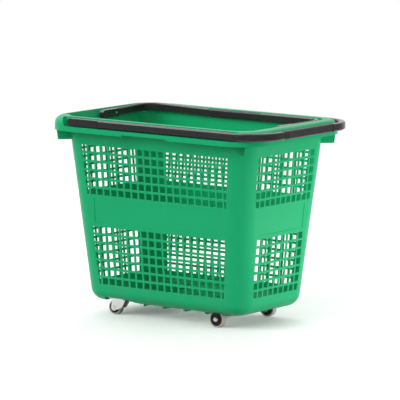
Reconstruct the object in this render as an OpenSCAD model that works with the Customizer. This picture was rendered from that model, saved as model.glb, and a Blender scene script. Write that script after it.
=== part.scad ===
// Rolling shopping basket: a drafted mesh tub with a channelled rim, a pull handle hinged on the rim,
// a carry handle hinged inside the mouth, two fixed wheels at one end and two swivel casters at the other.
// X runs along the tub, with the fixed wheels and the pull handle's crossbar at +X.
// The floor is Z = 0, and X = 0 is the middle of the whole length with the pull handle lying down.

/* [Tub] */
// Outside length of the tub at its top edge
tub_top_l = 473; // [450:1:500]
// Outside width of the tub at its top edge
tub_top_w = 298; // [285:1:320]
// Height of the top edge above the floor
tub_top_z = 413.5; // [405:0.5:435]
// Height of the tub's underside above the floor
tub_base_z = 28.5; // [27:0.5:31]
// Slope of the four walls from upright, in degrees
wall_draft = 5.4; // [4.6:0.1:6]
// Thickness of the moulded walls
wall_t = 2.6; // [2.2:0.1:3.2]
// Thickness of the moulded floor
floor_t = 3; // [2.5:0.1:4]
// Outside radius of the upright corners
corner_r = 40; // [37:0.5:44]
// Outside radius between the walls and the floor
base_r = 28; // [24:1:31]

/* [Mesh] */
// Distance between the middles of neighbouring mesh holes
mesh_pitch = 18; // [16:0.5:20]
// Width of the bars between the mesh holes
mesh_bar = 4.8; // [3.6:0.2:7]
// Narrowest hole that is kept at the slanted sides of a mesh panel
mesh_least_hole = 2.5; // [2:0.5:6]
// Plain margin from the tub's end to the mesh on the long walls
long_margin = 44.5; // [42:0.5:60]
// Plain margin from the tub's side to the mesh on the short walls
short_margin = 41; // [39:0.5:55]
// Height of the lowest row of holes in the lower mesh panels above the tub's underside
lower_mesh_rise = 43; // [41:0.5:50]
// Rows of holes in a lower mesh panel
lower_rows = 7; // [4:1:8]
// Depth of the highest row of holes in the upper mesh panels below the tub's top edge
upper_mesh_drop = 64; // [60:0.5:72]
// Rows of holes in an upper mesh panel
upper_rows = 6; // [4:1:6]

/* [Label panels] */
// Depth of the shallow label panels in the plain bands between the mesh panels
label_depth = 0.7; // [0.4:0.1:1]
// Plain strip between a label panel and the mesh panels above and below it
label_strip = 5.5; // [3:0.5:12]
// Distance from the ends of a label panel to the sides of the mesh
label_end = 10; // [6:0.5:40]

/* [Rim] */
// How far the rim stands out from the tub's top edge
rim_overhang = 28; // [26:0.5:34]
// Height of the rim, from the bottom of its skirt to the top edge
rim_h = 29; // [26:0.5:34]
// Radius of the rim's outer top edge at the end without a channel
rim_round = 17; // [12:0.5:17]
// Thickness of the rim's skirt and ledge
rim_t = 2.6; // [2.2:0.1:3.2]
// How far the mouth flares out at its top edge, at the end without a channel
flare_l = 10; // [4:0.5:10]
// Height of the flare
flare_h = 19; // [12:0.5:20]
// Plain width beside the flare, from each long wall
flare_side = 21; // [18:0.5:40]
// Length of the shallow notch in the skirt of each long side
notch_l = 113; // [60:1:160]
// Depth of that notch
notch_d = 3; // [1:0.5:5]
// Thickness of the corner gussets under the rim
gusset_t = 5.5; // [3:0.5:8]
// How far the gussets hang below the skirt
gusset_drop = 21; // [10:1:26]
// Distance from the rim's outer face to a gusset's upper outer corner
gusset_inset = 3.5; // [2.5:0.5:6]
// How far a gusset's outer edge leans in at its foot
gusset_taper = 3; // [1:0.5:6]

/* [Pull handle] */
// Width of the pull handle's bar
pull_w = 14; // [12:0.5:16]
// Height of the pull handle's bar
pull_h = 16; // [13:0.5:17]
// Chamfer along the bar's edges
pull_chamfer = 2.5; // [1:0.5:3.5]
// Gap between the resting bar and the ledge under it
pull_seat_gap = 1; // [0.5:0.1:3]
// How far the tub's top edge stands above the resting bar
pull_lip = 1.5; // [1:0.5:4]
// Distance from the rim's outer face in to the outer face of the arms
pull_inset = 4; // [3:0.5:6]
// Gap between the lying bar and the raised land around the mouth
channel_gap = 2; // [1.5:0.5:3]
// How far the crossbar's outer face stands out from the rim's end
pull_reach = 24.5; // [22:0.5:34]
// Outside radius of the handle's two bends
pull_bend_r = 73; // [60:1:80]
// Distance of the hinge pins from the middle of the tub
pull_pivot_back = 192; // [186:1:193]
// Diameter of the hinge pins
pull_pin_d = 6; // [5:0.5:7]
// How far the handle swings open, in degrees
pull_open = 143; // [134:1:146]
// Gap between the opened handle and the edge that stops it
pull_stop_gap = 0.4; // [0.3:0.1:1]
// Lean of the channel's end below that edge from upright, in degrees
stop_lean = 37; // [28:1:40]
// Distance of the joint between arm and end fitting from the middle of the tub
pull_fitting_back = 123; // [100:1:150]
// Length of the grip on the crossbar
pull_grip_l = 168; // [120:1:180]
// Thickness of the grip's sleeve around the core of the bar
pull_grip_t = 2.3; // [1.8:0.1:3]
// Width of the collar at each end of the grip
pull_collar_l = 5; // [3:0.5:8]
// How far the collars stand proud of the grip
pull_collar_t = 0.5; // [0.3:0.1:1]

/* [Carry handle] */
// Thickness of the carry handle's flat bar
carry_t = 10; // [8:0.5:11]
// Height of the carry handle's flat bar
carry_h = 17; // [14:0.5:19]
// Chamfer along the bar's edges
carry_chamfer = 3; // [0.5:0.5:3]
// Depth of the hinge axis below the tub's top edge
carry_drop = 9; // [9:0.5:14]
// Length of each arm past its hinge axis
carry_tail = 28; // [20:1:34]
// Least gap between an arm and the short wall while the handle turns
carry_gap = 0.8; // [0.5:0.1:2]
// Gap between the lying handle and the long wall
carry_side_gap = 2.5; // [1.5:0.5:4]
// Outside radius of the handle's two bends
carry_bend_r = 40; // [39:1:60]
// Diameter of the hinge pins
carry_pin_d = 6; // [5:0.5:7]
// Length of the hinge bosses outside the short walls
carry_boss_l = 8; // [6:0.5:12]
// Length of the end fitting on the handle's side of the hinge axis
carry_fitting_l = 26; // [22:1:40]
// Distance of the rivet from the hinge axis
carry_rivet_y = 16.6; // [14:0.2:18]
// Diameter of the rivet's shank
carry_rivet_d = 3; // [2.5:0.5:4]
// Length of the grip on the back bar
carry_grip_l = 132; // [100:1:180]
// Thickness of the grip's sleeve around the core of the bar
carry_grip_t = 1.8; // [1.4:0.1:2.4]

/* [Fixed wheels] */
// Diameter of the fixed wheels
wheel_d = 35; // [33:0.5:37]
// Width of the fixed wheels
wheel_w = 13; // [11:0.5:15]
// Diameter of the fixed wheels' hubs
wheel_hub_d = 28.5; // [25:0.5:30]
// Distance of the axle from the middle of the tub
wheel_x = 123.5; // [120:0.5:132]
// Distance of each wheel's middle from the middle of the tub
wheel_y = 87; // [83:0.5:89]
// Diameter of the axle
axle_d = 6; // [5:0.5:8]
// Diameter of the domed axle caps
axle_cap_d = 11; // [9.5:0.5:14]
// Thickness of the lugs that carry the axle
lug_t = 8; // [6:0.5:10]
// Width of a lug around the axle
lug_w = 16; // [13:0.5:20]
// Length of the spacers between lugs and wheels
spacer_l = 4.2; // [3:0.2:6]
// Outside diameter of the spacers
spacer_d = 12; // [10:0.5:14]
// Clear space around a fixed wheel in its well
wheel_room = 4; // [3:0.5:5]

/* [Casters] */
// Diameter of the caster wheels
caster_d = 30; // [28:0.5:32]
// Width of the caster wheels
caster_w = 13; // [11:0.5:15]
// Diameter of the caster wheels' hubs
caster_hub_d = 23.5; // [20:0.5:25]
// Distance of the swivel axes from the middle of the tub
caster_back = 127; // [126:1:130]
// Distance of the swivel axes from the middle of the tub, sideways
caster_y = 85; // [80:1:88]
// Distance of the wheel's axle behind the swivel axis
caster_trail = 12.5; // [10:0.5:13]
// Thickness of the pressed steel fork
fork_t = 1.6; // [1.2:0.1:2]
// Length of the fork's crown
fork_l = 32; // [29:1:34]
// How far the fork's cheeks reach in front of the wheel's axle
fork_heel = 20; // [12:1:22]
// Gap between the wheel and the fork
fork_gap = 1.2; // [0.8:0.1:2]
// Diameter of the caster axle rivet
caster_axle_d = 5; // [4:0.5:6]
// Diameter of the kingpin
kingpin_d = 6; // [5:0.5:8]
// Height of the swivel race
race_h = 2; // [1.5:0.1:2.5]
// Thickness of the square mounting plate
plate_t = 2; // [1.5:0.1:2.5]
// Side of the square mounting plate
plate_l = 37; // [36.5:0.5:40]
// Distance of the plate's screws from the swivel axis, along each side
screw_spread = 14; // [13.5:0.1:14.5]
// Diameter of the plate's screws
screw_d = 4; // [3.5:0.1:4.2]
// Thickness of the tub above a mounting plate
caster_cap_t = 6; // [5:0.5:8]
// Clear space around the turning caster in its well
caster_room = 5; // [4:0.5:6]
// Length of the ramp from a caster well's axis to the tub's underside
well_ramp_l = 59; // [50:1:63]

/* [Floor] */
// Distance between the ribs under the floor
rib_pitch = 54; // [50:1:56]
// Place of the middle of the row of ribs along the tub
rib_x = 11; // [8:1:13]
// Thickness of the ribs
rib_t = 6; // [3:0.5:7]
// How far the ribs hang below the floor
rib_drop = 5; // [2:0.5:6]
// Half length of the ribs, sideways
rib_half_l = 86; // [70:1:88]
// Width of the drain slots in the floor
slot_w = 8; // [5:0.5:10]
// Length of the drain slots
slot_l = 64; // [40:1:70]
// Distance between the drain slots of one bay
slot_pitch = 14; // [13:0.5:15]
// Solid web along the middle of the floor between the rows of slots
slot_web = 18; // [12:1:30]

/* [Fits] */
// Radial clearance of a part that turns on a pin
turn_fit = 0.05; // [0.02:0.01:0.1]
// End clearance of a part that turns on a pin
end_fit = 0.3; // [0.2:0.05:0.5]

/* [Hidden] */

tub_green = "#24a36a";
handle_black = "#323032";
hub_black = "#1d1d1f";
tyre_grey = "#b9b3a8";
caster_grey = "#8c8a86";
zinc = "#c9ccce";

// Fineness of the curves that are blended into the tub's skin
blend_fn = 32;
// Fineness of all other curves
$fn = 64;
// Turn between two layers of a quarter-round, in degrees, and the thickness of a layer
dome_step = 15;
slice = 0.02;
// How far a cut runs past the faces that it opens
over = 1;
// How far one moulded feature sinks into the next
sink = 0.6;
// How far the heads of rivets and screws stand out around their shanks
head_lip = 1.5;
// Chamfer of a tyre's edges as a share of its rubber
tyre_edge = 0.2;

// Tub walls at a height above the floor
function half_l(z) = tub_top_l / 2 - (tub_top_z - z) * tan(wall_draft);
function half_w(z) = tub_top_w / 2 - (tub_top_z - z) * tan(wall_draft);
// Distance up a sloping wall for a height above the floor
function up_wall(z) = z / cos(wall_draft);
wall_inset = wall_t / cos(wall_draft);

// Lowest rows of holes in the lower and upper mesh panels
lower_mesh_z = tub_base_z + lower_mesh_rise;
upper_mesh_z = tub_top_z - upper_mesh_drop - (upper_rows - 1) * mesh_pitch;

// The whole part is moved so that X = 0 is the middle of its length
tub_x = -(pull_reach + pull_collar_t) / 2;

// Rim and channel
rim_half_l = tub_top_l / 2 + rim_overhang;
rim_half_w = tub_top_w / 2 + rim_overhang;
rim_r = corner_r + rim_overhang;
rim_base_z = tub_top_z - rim_h;
ledge_z = tub_top_z - pull_lip - pull_h - pull_seat_gap;

// Pull handle
pull_z = ledge_z + pull_seat_gap + pull_h / 2;
pull_half_w = rim_half_w - pull_inset;
pull_x = rim_half_l + pull_reach;
pull_arm_y = pull_half_w - pull_w / 2;
pull_bend_mid = pull_bend_r - pull_w / 2;
pull_core_w = pull_w - 2 * pull_grip_t;
pull_core_h = pull_h - 2 * pull_grip_t;
pull_spigot_l = 18;
pull_skin = 2;
pull_boss_r = pull_h / 2;
// Edge that the opened handle rests against, and the channel's end below it at a height above the floor
stop_edge = -pull_pivot_back
  + (cos(pull_open) * (tub_top_z - pull_z) - pull_h / 2 - pull_stop_gap) / sin(pull_open);
function stop_x(z) = stop_edge + (tub_top_z - z) * tan(stop_lean);

// Carry handle
carry_z = tub_top_z - carry_drop;
carry_half_l = half_l(carry_z - carry_tail) - wall_inset - carry_gap;
carry_reach = half_w(carry_z - carry_h / 2) - wall_inset - carry_side_gap;
carry_bend_mid = carry_bend_r - carry_t / 2;
carry_core_t = carry_t - 2 * carry_grip_t;
carry_core_h = carry_h - 2 * carry_grip_t;
// Plastic between a hinge pin's bore and the bar's spigot
carry_bore_wall = 4;
carry_spigot_l = carry_fitting_l - carry_pin_d / 2 - carry_bore_wall;
carry_skin = 2;
carry_boss_r = 7;
rivet_head_d = carry_rivet_d + head_lip;
rivet_head_h = 1.2;

// Fixed wheels
axle_z = wheel_d / 2;
lug_face = wheel_y - wheel_w / 2 - end_fit - spacer_l;
wheel_face = wheel_y + wheel_w / 2;
// Depth of the axle's end inside a cap
cap_depth = axle_cap_d / 4;
axle_half_l = wheel_face + end_fit + cap_depth;
wheel_well_r = wheel_d / 2 + wheel_room;

// Casters
caster_axle_z = caster_d / 2;
crown_z = caster_d + fork_gap;
// Play between the fork's crown and the race
race_gap = 0.1;
race_z = crown_z + fork_t + race_gap;
plate_z = race_z + race_h;
caster_top_z = plate_z + plate_t;
fork_half_w = caster_w / 2 + fork_gap + fork_t;
swing_r = sqrt(pow(caster_trail + caster_d / 2, 2) + pow(caster_w / 2, 2));
caster_well_r = swing_r + caster_room;
// Metal around the axle's eye in a fork cheek
fork_eye_wall = 4.5;
fork_foot_r = caster_axle_d / 2 + fork_eye_wall;
race_d = 24;
// Heads of kingpins, screws and caster axles
kingpin_head_d = kingpin_d + 2 * head_lip;
kingpin_head_h = 1;
screw_head_d = screw_d + 2 * head_lip;
screw_head_h = 1.6;
rivet_end_d = caster_axle_d + 2 * head_lip;
rivet_end_h = 1.2;
// Share of a caster well's radius that stays level before its ramp
well_level = 0.6;

// Ribs under the floor
ribs = 4;

// Moves a piece from the tub's middle to its place in the part
module placed() { translate([tub_x, 0, 0]) children(); }

// Copies for both sides or both ends of the tub
module both_sides() { for (side = [-1, 1]) mirror_side(side) children(); }
module mirror_side(side) { mirror([0, side < 0 ? 1 : 0, 0]) children(); }
module both_ends() { for (end = [-1, 1]) mirror([end < 0 ? 1 : 0, 0, 0]) children(); }

// Flat frame of a sloping wall: X runs along the wall, Y up its slope and Z out of it
module on_wall(turn, reach) {
  rotate([0, 0, turn]) translate([reach, 0, 0]) rotate([0, wall_draft, 0]) rotate([90, 0, 90]) children();
}
module on_front() { on_wall(270, half_w(0)) children(); }
module on_back() { on_wall(90, half_w(0)) children(); }
module on_left() { on_wall(180, half_l(0)) children(); }
module on_right() { on_wall(0, half_l(0)) children(); }

// A prism with its outline in X and Z, centred sideways
module side_prism(points, width) {
  rotate([90, 0, 0]) translate([0, 0, -width / 2]) linear_extrude(width) polygon(points);
}

// A round bar along X or Y, from one distance to another
module bar_x(d, from, to) { translate([from, 0, 0]) rotate([0, 90, 0]) cylinder(d = d, h = to - from); }
module bar_y(d, from, to) { translate([0, from, 0]) rotate([-90, 0, 0]) cylinder(d = d, h = to - from); }

// A flat plate with four round corners, standing on z = 0
module round_plate(half_l, half_w, r, h) {
  linear_extrude(h) {
    square([2 * half_l, 2 * (half_w - r)], center = true);
    square([2 * (half_l - r), 2 * half_w], center = true);
    for (x = [-1, 1], y = [-1, 1]) translate([x * (half_l - r), y * (half_w - r)]) circle(r);
  }
}

// A plate like that with a quarter-round along its upper edge
module domed_plate(half_l, half_w, r, h, round) {
  hull() {
    round_plate(half_l, half_w, r, h - round, $fn = blend_fn);
    for (a = [dome_step : dome_step : 90])
      translate([0, 0, h - round * (1 - sin(a)) - slice])
        round_plate(half_l - round * (1 - cos(a)), half_w - round * (1 - cos(a)),
          r - round * (1 - cos(a)), slice, $fn = blend_fn);
  }
}

// The tub's closed form, inset from its outer skin, from a base height to a top height
module tub_form(inset, base, top) {
  level = inset / cos(wall_draft);
  r = corner_r - level;
  fillet = base_r - inset;
  fillet_z = base + fillet;
  hull() {
    for (x = [-1, 1], y = [-1, 1]) {
      translate([x * (half_l(top) - corner_r), y * (half_w(top) - corner_r), top - sink])
        cylinder(r = r, h = sink, $fn = blend_fn);
      translate([x * (half_l(fillet_z) - corner_r), y * (half_w(fillet_z) - corner_r), fillet_z])
        rotate_extrude($fn = blend_fn) intersection() {
          translate([r - fillet, 0]) circle(fillet, $fn = blend_fn);
          translate([0, -fillet]) square([r, 2 * fillet]);
        }
    }
  }
}

// Half width of a mesh area at a height, on a long or a short wall
function mesh_edge(long, z) = long ? half_l(z) - long_margin : half_w(z) - short_margin;

// Outline of a mesh panel in its wall's frame
module panel_outline(long, first_z, rows) {
  low = first_z - mesh_pitch / 2;
  high = low + rows * mesh_pitch;
  low_edge = mesh_edge(long, low) + mesh_bar / 2;
  high_edge = mesh_edge(long, high) + mesh_bar / 2;
  polygon([
    [-low_edge, up_wall(low)], [low_edge, up_wall(low)],
    [high_edge, up_wall(high)], [-high_edge, up_wall(high)]
  ]);
}

// One mesh hole, cut off by the panel's slanted sides
module mesh_hole(long, x, z) {
  half = (mesh_pitch - mesh_bar) / 2;
  low = mesh_edge(long, z - half);
  high = mesh_edge(long, z + half);
  if (min(x + half, low) - max(x - half, -low) > mesh_least_hole)
    polygon([
      [max(x - half, -low), up_wall(z - half)], [min(x + half, low), up_wall(z - half)],
      [min(x + half, high), up_wall(z + half)], [max(x - half, -high), up_wall(z + half)]
    ]);
}

// A mesh panel as thick as the wall that it fills
module mesh_panel(long, first_z, rows) {
  columns = ceil(mesh_edge(long, first_z + rows * mesh_pitch) / mesh_pitch);
  translate([0, 0, -wall_t]) linear_extrude(wall_t) difference() {
    panel_outline(long, first_z, rows);
    for (row = [0 : rows - 1], column = [-columns : columns])
      mesh_hole(long, column * mesh_pitch, first_z + row * mesh_pitch);
  }
}
module lower_panel(long) { color(tub_green) mesh_panel(long, lower_mesh_z, lower_rows); }
module upper_panel(long) { color(tub_green) mesh_panel(long, upper_mesh_z, upper_rows); }

// The windows that the mesh panels of one wall fill
module wall_windows(long) {
  translate([0, 0, -wall_t - over]) linear_extrude(wall_t + 2 * over) {
    panel_outline(long, lower_mesh_z, lower_rows);
    panel_outline(long, upper_mesh_z, upper_rows);
  }
}
module tub_windows() {
  on_front() wall_windows(true);
  on_back() wall_windows(true);
  on_left() wall_windows(false);
  on_right() wall_windows(false);
}

// Shallow label panels in the plain bands of the walls
module wall_label(long) {
  low = lower_mesh_z + (lower_rows - 1 / 2) * mesh_pitch + label_strip;
  high = upper_mesh_z - mesh_pitch / 2 - label_strip;
  half = mesh_edge(long, low) - label_end;
  if (high > low) translate([-half, up_wall(low), -label_depth])
    cube([2 * half, up_wall(high - low), label_depth + over]);
}
module tub_labels() {
  on_front() wall_label(true);
  on_back() wall_label(true);
  on_left() wall_label(false);
  on_right() wall_label(false);
}

// Plan of the raised land around the mouth, which the lying pull handle runs around
module land_plan(inset) {
  bend_x = pull_x - pull_bend_r;
  bend_y = pull_half_w - pull_bend_r;
  r = pull_bend_r - pull_w - channel_gap - inset;
  far = rim_half_l + over;
  translate([-far, -bend_y - r]) square([far + bend_x, 2 * (bend_y + r)]);
  translate([-far, -bend_y]) square([2 * far, 2 * bend_y]);
  for (y = [-1, 1]) translate([bend_x, y * bend_y]) circle(r);
}

// The rim around the tub's mouth: a land with a skirt, and a channel outside the land for the pull handle,
// which runs from a leaning stop near the -X end to the +X end
module rim() {
  far = rim_half_l + over;
  hollow_z = ledge_z - rim_t;
  roof_z = tub_top_z - rim_t;
  end_wall = rim_t / cos(stop_lean);
  difference() {
    translate([0, 0, rim_base_z]) domed_plate(rim_half_l, rim_half_w, rim_r, rim_h, rim_round);
    translate([0, 0, rim_base_z - over])
      round_plate(rim_half_l - rim_t, rim_half_w - rim_t, rim_r - rim_t, hollow_z - rim_base_z + over);
    intersection() {
      translate([0, 0, rim_base_z])
        domed_plate(rim_half_l - rim_t, rim_half_w - rim_t, rim_r - rim_t,
          roof_z - rim_base_z, rim_round - rim_t);
      union() {
        side_prism([
          [-far, hollow_z - sink], [stop_x(hollow_z - sink) - end_wall, hollow_z - sink],
          [stop_x(roof_z) - end_wall, roof_z + over], [-far, roof_z + over]
        ], 2 * far);
        translate([0, 0, hollow_z - sink]) linear_extrude(rim_h) land_plan(rim_t);
      }
    }
    difference() {
      side_prism([
        [stop_x(ledge_z), ledge_z], [far, ledge_z],
        [far, tub_top_z + over], [stop_x(tub_top_z + over), tub_top_z + over]
      ], 2 * far);
      translate([0, 0, rim_base_z]) linear_extrude(2 * rim_h) land_plan(0);
    }
    translate([-notch_l / 2, -far, rim_base_z - over]) cube([notch_l, 2 * far, notch_d + over]);
  }
}

// Gussets on the diagonals of the corners, under the rim
module gussets() {
  foot_z = rim_base_z - gusset_drop;
  tip = rim_r - gusset_inset;
  root = corner_r - rim_overhang;
  for (x = [-1, 1], y = [-1, 1])
    translate([x * (tub_top_l / 2 - corner_r), y * (tub_top_w / 2 - corner_r), 0])
      rotate([0, 0, atan2(y, x)])
        side_prism([
          [root, foot_z], [tip - gusset_taper, foot_z], [tip, rim_base_z + sink],
          [tip, ledge_z - sink], [root, ledge_z - sink]
        ], gusset_t);
}

// Bosses for the pull handle's pins, on the ledge outside the long walls
module pull_bosses() {
  root = half_w(ledge_z) - wall_t;
  face = pull_half_w - pull_w - end_fit;
  both_sides() translate([-pull_pivot_back, 0, 0]) {
    translate([0, 0, pull_z]) bar_y(2 * pull_boss_r, root, face);
    translate([-pull_boss_r, root, ledge_z - sink])
      cube([2 * pull_boss_r, face - root, pull_z - ledge_z + sink]);
  }
}

// Bosses for the carry handle's pins, outside the short walls
module carry_bosses() {
  root = half_l(carry_z) - wall_t;
  face = half_l(carry_z) + carry_boss_l;
  both_ends() {
    translate([0, 0, carry_z]) bar_x(2 * carry_boss_r, root, face);
    translate([root, -carry_boss_r, ledge_z - rim_t])
      cube([face - root, 2 * carry_boss_r, carry_z - ledge_z + rim_t]);
  }
}

// Lugs under the floor that carry the fixed axle
module axle_lugs() {
  both_sides() translate([wheel_x, lug_face, axle_z]) rotate([90, 0, 0]) linear_extrude(lug_t) {
    circle(d = lug_w);
    translate([-lug_w / 2, 0]) square([lug_w, tub_base_z - axle_z + sink]);
  }
}

// Ribs across the underside of the floor
module floor_ribs() {
  for (i = [0 : ribs - 1])
    translate([rib_x + (i - (ribs - 1) / 2) * rib_pitch - rib_t / 2, -rib_half_l, tub_base_z - rib_drop])
      cube([rib_t, 2 * rib_half_l, rib_drop + sink]);
}

// Drain slots between the ribs
module floor_slots() {
  for (bay = [0 : ribs - 2], i = [-1 : 1])
    both_sides()
      translate([rib_x + (bay + 1 - ribs / 2) * rib_pitch + i * slot_pitch, slot_web / 2, tub_base_z - over])
        translate([-slot_w / 2, 0, 0]) cube([slot_w, slot_l, floor_t + 2 * over]);
}

// Space for the casters and fixed wheels under the tub, grown by a skin thickness
module wheel_wells(skin, cap) {
  low = tub_base_z - wheel_d;
  ramp_top = caster_top_z + skin;
  both_sides() {
    translate([-caster_back, caster_y, low])
      cylinder(r = caster_well_r + skin, h = caster_top_z + cap - low);
    translate([-caster_back, caster_y + caster_well_r / 2, 0]) side_prism([
      [0, low], [well_ramp_l + skin, low], [well_ramp_l + skin, tub_base_z],
      [caster_well_r * well_level, ramp_top], [0, ramp_top]
    ], 2 * (caster_well_r + skin));
    translate([wheel_x, 0, axle_z])
      bar_y(2 * (wheel_well_r + skin), lug_face + spacer_l / 2 - skin, wheel_face + wheel_room + skin);
  }
}

// Bores in the moulding for pins, axle and screws
module tub_bores() {
  both_sides() translate([-pull_pivot_back, 0, pull_z])
    bar_y(pull_pin_d, half_w(pull_z) - wall_t - 2 * over, pull_half_w - pull_w);
  both_ends() translate([0, 0, carry_z])
    bar_x(carry_pin_d, half_l(carry_z) - wall_t - 2 * over, half_l(carry_z) + carry_boss_l + over);
  translate([wheel_x, 0, axle_z]) bar_y(axle_d, -lug_face - over, lug_face + over);
  caster_screw_places() translate([0, 0, caster_top_z - over]) cylinder(d = screw_d, h = caster_cap_t);
}

// The four screws of each mounting plate
module caster_screw_places() {
  both_sides() for (x = [-1, 1], y = [-1, 1])
    translate([-caster_back + x * screw_spread, caster_y + y * screw_spread, 0]) children();
}

// The flare of the short wall at the end without a channel, from its outside or, with an inset, its inside
module mouth_flare(inset, top) {
  foot_z = tub_top_z - flare_h;
  foot = half_l(foot_z) - inset / cos(wall_draft);
  edge = half_l(tub_top_z) + flare_l - inset;
  side_prism([
    [-foot, foot_z], [-edge, tub_top_z], [-edge, top], [-foot + corner_r / 2, top], [-foot + corner_r / 2, foot_z]
  ], 2 * (half_w(tub_top_z) - flare_side - inset));
}

// The moulded tub: shell, rim, bosses, lugs, ribs and wheel wells, open where the mesh panels go
module basket_tub() {
  color(tub_green) placed() difference() {
    union() {
      tub_form(0, tub_base_z, tub_top_z);
      rim();
      mouth_flare(0, tub_top_z);
      gussets();
      pull_bosses();
      carry_bosses();
      axle_lugs();
      floor_ribs();
    }
    difference() {
      tub_form(wall_t, tub_base_z + floor_t, tub_top_z + over);
      wheel_wells(wall_t, caster_cap_t);
    }
    mouth_flare(wall_t, tub_top_z + over);
    wheel_wells(0, 0);
    tub_windows();
    tub_labels();
    floor_slots();
    tub_bores();
  }
}

module mesh_panel_front_lower() { placed() on_front() lower_panel(true); }
module mesh_panel_front_upper() { placed() on_front() upper_panel(true); }
module mesh_panel_back_lower() { placed() on_back() lower_panel(true); }
module mesh_panel_back_upper() { placed() on_back() upper_panel(true); }
module mesh_panel_left_lower() { placed() on_left() lower_panel(false); }
module mesh_panel_left_upper() { placed() on_left() upper_panel(false); }
module mesh_panel_right_lower() { placed() on_right() lower_panel(false); }
module mesh_panel_right_upper() { placed() on_right() upper_panel(false); }

// Section of a bar with chamfered edges
module bar_section(w, h, c) {
  polygon([
    [-w / 2 + c, -h / 2], [w / 2 - c, -h / 2], [w / 2, -h / 2 + c], [w / 2, h / 2 - c],
    [w / 2 - c, h / 2], [-w / 2 + c, h / 2], [-w / 2, h / 2 - c], [-w / 2, -h / 2 + c]
  ]);
}
// Runs a section along X or Y, from one distance to another
module along_x(from, to) {
  translate([from, 0, 0]) rotate([90, 0, 90]) linear_extrude(to - from) children();
}
module along_y(from, to) {
  translate([0, from, 0]) rotate([-90, 0, 0]) linear_extrude(to - from) children();
}

// The pull handle's bar: two arms, two bends and a crossbar that is slimmer inside the grip
module pull_bar() {
  bend_x = pull_x - pull_bend_r;
  bend_y = pull_half_w - pull_bend_r;
  color(handle_black) placed() translate([0, 0, pull_z]) {
    both_sides() difference() {
      union() {
        translate([0, pull_arm_y, 0]) along_x(-pull_fitting_back, bend_x)
          bar_section(pull_w, pull_h, pull_chamfer);
        translate([bend_x, bend_y, 0]) rotate_extrude(angle = 90)
          translate([pull_bend_mid, 0]) bar_section(pull_w, pull_h, pull_chamfer);
        translate([pull_x - pull_w / 2, 0, 0]) along_y(pull_grip_l / 2, bend_y)
          bar_section(pull_w, pull_h, pull_chamfer);
      }
      translate([0, pull_arm_y, 0])
        along_x(-pull_fitting_back - over, -pull_fitting_back + pull_spigot_l + end_fit)
          square([pull_core_w, pull_core_h], center = true);
    }
    translate([pull_x - pull_w / 2, 0, 0]) along_y(-pull_grip_l / 2, pull_grip_l / 2)
      square([pull_core_w, pull_core_h], center = true);
  }
}

// End fittings of the pull handle's arms, with a spigot in the bar and a blind bore for the pin
module pull_arm_fittings() {
  inner = pull_half_w - pull_w;
  color(handle_black) placed() both_sides() translate([0, 0, pull_z]) difference() {
    union() {
      translate([-pull_pivot_back, pull_half_w, 0]) rotate([90, 0, 0]) linear_extrude(pull_w) {
        circle(d = pull_h);
        translate([0, -pull_h / 2]) square([pull_pivot_back - pull_fitting_back, pull_h]);
      }
      translate([0, pull_arm_y, 0]) along_x(-pull_fitting_back - sink, -pull_fitting_back + pull_spigot_l)
        square([pull_core_w, pull_core_h], center = true);
    }
    translate([-pull_pivot_back, 0, 0])
      bar_y(pull_pin_d + 2 * turn_fit, inner - over, pull_half_w - pull_skin);
  }
}

// The grip sleeve on the crossbar, with a collar at each end
module pull_grip() {
  collar = 2 * pull_collar_t;
  color(handle_black) placed() translate([pull_x - pull_w / 2, 0, pull_z]) difference() {
    union() {
      along_y(-pull_grip_l / 2, pull_grip_l / 2) bar_section(pull_w, pull_h, pull_chamfer);
      both_sides() along_y(pull_grip_l / 2 - pull_collar_l, pull_grip_l / 2)
        bar_section(pull_w + collar, pull_h + collar, pull_chamfer);
    }
    along_y(-pull_grip_l / 2 - over, pull_grip_l / 2 + over)
      square([pull_core_w, pull_core_h], center = true);
  }
}

// Pins pressed into the rim's bosses, on which the pull handle turns
module pull_hinge_pins() {
  color(zinc) placed() both_sides() translate([-pull_pivot_back, 0, pull_z])
    bar_y(pull_pin_d, half_w(pull_z) - wall_t / 2, pull_half_w - pull_skin - end_fit);
}

// The carry handle's flat bar: a back bar that is slimmer inside the grip, two bends,
// and two arms with spigots for the end fittings
module carry_bar() {
  bend_x = carry_half_l - carry_bend_r;
  color(handle_black) placed() translate([0, carry_reach - carry_t / 2, carry_z]) {
    both_ends() along_x(carry_grip_l / 2, bend_x) bar_section(carry_t, carry_h, carry_chamfer);
    along_x(-carry_grip_l / 2, carry_grip_l / 2) square([carry_core_t, carry_core_h], center = true);
  }
}
module carry_bends() {
  bend_x = carry_half_l - carry_bend_r;
  bend_y = carry_reach - carry_bend_r;
  color(handle_black) placed() both_ends() translate([bend_x, bend_y, carry_z]) rotate_extrude(angle = 90)
    translate([carry_bend_mid, 0]) bar_section(carry_t, carry_h, carry_chamfer);
}
module carry_arms() {
  bend_y = carry_reach - carry_bend_r;
  arm_x = carry_half_l - carry_t / 2;
  color(handle_black) placed() both_ends() translate([0, 0, carry_z]) difference() {
    translate([arm_x, 0, 0]) {
      along_y(carry_fitting_l, bend_y) bar_section(carry_t, carry_h, carry_chamfer);
      along_y(carry_fitting_l - carry_spigot_l, carry_fitting_l + sink)
        square([carry_core_t, carry_core_h], center = true);
    }
    translate([0, carry_rivet_y, 0])
      bar_x(carry_rivet_d, carry_half_l - carry_t - over, carry_half_l + over);
  }
}

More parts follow.
